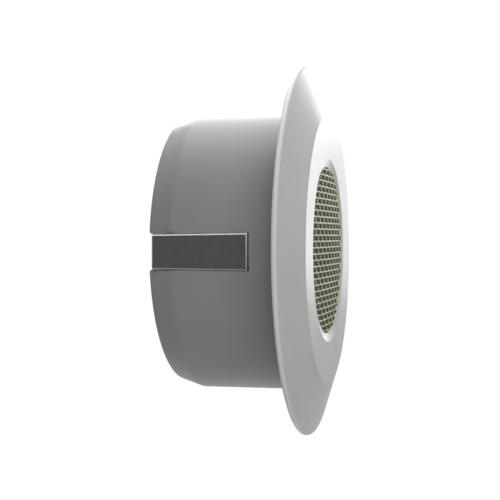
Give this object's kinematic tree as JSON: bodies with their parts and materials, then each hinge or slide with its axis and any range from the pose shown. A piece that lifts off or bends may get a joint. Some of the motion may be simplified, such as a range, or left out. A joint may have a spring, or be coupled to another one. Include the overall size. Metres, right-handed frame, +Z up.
{
  "type": "recessed outdoor spotlight",
  "caption": "Round recessed spotlight with a wide sloping flange, a beaded fly-eye lens and a short can housing held in its hole by sprung side tabs",
  "frame": {"origin": "Centre of the flange's back face, in the plane of the wall, on the light's own axis.", "axes": "+Z up, the light shines along -Y, the housing goes into the wall along +Y, and the two retaining tabs are at -X and +X."},
  "size_m": [0.1, 0.0479, 0.1],
  "materials": {
    "flange_finish": "off-white powder coat on a die-cast flange, glossy and smooth",
    "housing_finish": "mid grey satin paint on a drawn can",
    "lens_plastic": "olive-tinted moulded acrylic with beads, glossy",
    "tab_nylon": "dark grey glass-filled nylon, its outer edges rubbed pale",
    "rubber": "black silicone rubber",
    "gasket_foam": "closed-cell black foam",
    "zinc_steel": "zinc-plated steel",
    "spring_steel": "drawn spring wire",
    "cast_aluminium": "die-cast aluminium, as cast",
    "reflector_white": "white moulded reflector",
    "led_board_white": "white solder mask on an aluminium core",
    "chip_phosphor": "yellow phosphor under a clear window",
    "pad_silicone": "soft blue-grey thermal pad",
    "case_plastic": "off-white flame-retardant plastic",
    "circuit_board": "green solder mask",
    "transformer_tape": "yellow polyester tape round a ferrite core",
    "choke_copper": "enamelled copper winding on a ring core",
    "capacitor_sleeve": "dark blue shrink sleeve",
    "terminal_plastic": "green nylon",
    "lead_insulation": "red silicone insulation",
    "gland_nylon": "dark grey moulded nylon"
  },
  "bodies": {
    "fixture": {"trim_ring": "flange_finish", "lens": "lens_plastic", "lens_seal": "rubber", "lens_retainer": "zinc_steel", "retainer_screws": "zinc_steel", "reflector": "reflector_white", "led_board": "led_board_white", "led_chips": "chip_phosphor", "led_board_screws": "zinc_steel", "thermal_pad": "pad_silicone", "heat_sink": "cast_aluminium", "heat_sink_screws": "zinc_steel", "driver_case": "case_plastic", "driver_board": "circuit_board", "driver_screws": "zinc_steel", "transformer": "transformer_tape", "choke": "choke_copper", "capacitors": "capacitor_sleeve", "terminal_block": "terminal_plastic", "led_leads": "lead_insulation", "driver_cap": "case_plastic", "housing": "housing_finish", "housing_ring_seal": "rubber", "housing_screws": "zinc_steel", "wall_gasket": "gasket_foam", "gland_body": "gland_nylon", "gland_washer": "rubber", "gland_lock_nut": "zinc_steel", "gland_bush": "rubber", "gland_cap": "gland_nylon", "left_pivot_pin": "zinc_steel", "right_pivot_pin": "zinc_steel", "left_tab_spring": "spring_steel", "right_tab_spring": "spring_steel"},
    "left_tab_body": {"left_tab": "tab_nylon"},
    "right_tab_body": {"right_tab": "tab_nylon"}
  },
  "joints": [
    {"name": "left_tab_press", "type": "hinge", "parent": "fixture", "child": "left_tab_body", "pos_m": [-0.03435, 0.0295, 0], "axis": [0, 0, 1], "range_deg": [0, 3], "stiffness_Nm_per_rad": 0.3, "springref_deg": -9.74, "deforming": ["left_tab_spring"]},
    {"name": "right_tab_press", "type": "hinge", "parent": "fixture", "child": "right_tab_body", "pos_m": [0.03435, 0.0295, 0], "axis": [0, 0, -1], "range_deg": [0, 3], "stiffness_Nm_per_rad": 0.3, "springref_deg": -9.74, "deforming": ["right_tab_spring"]}
  ]
}
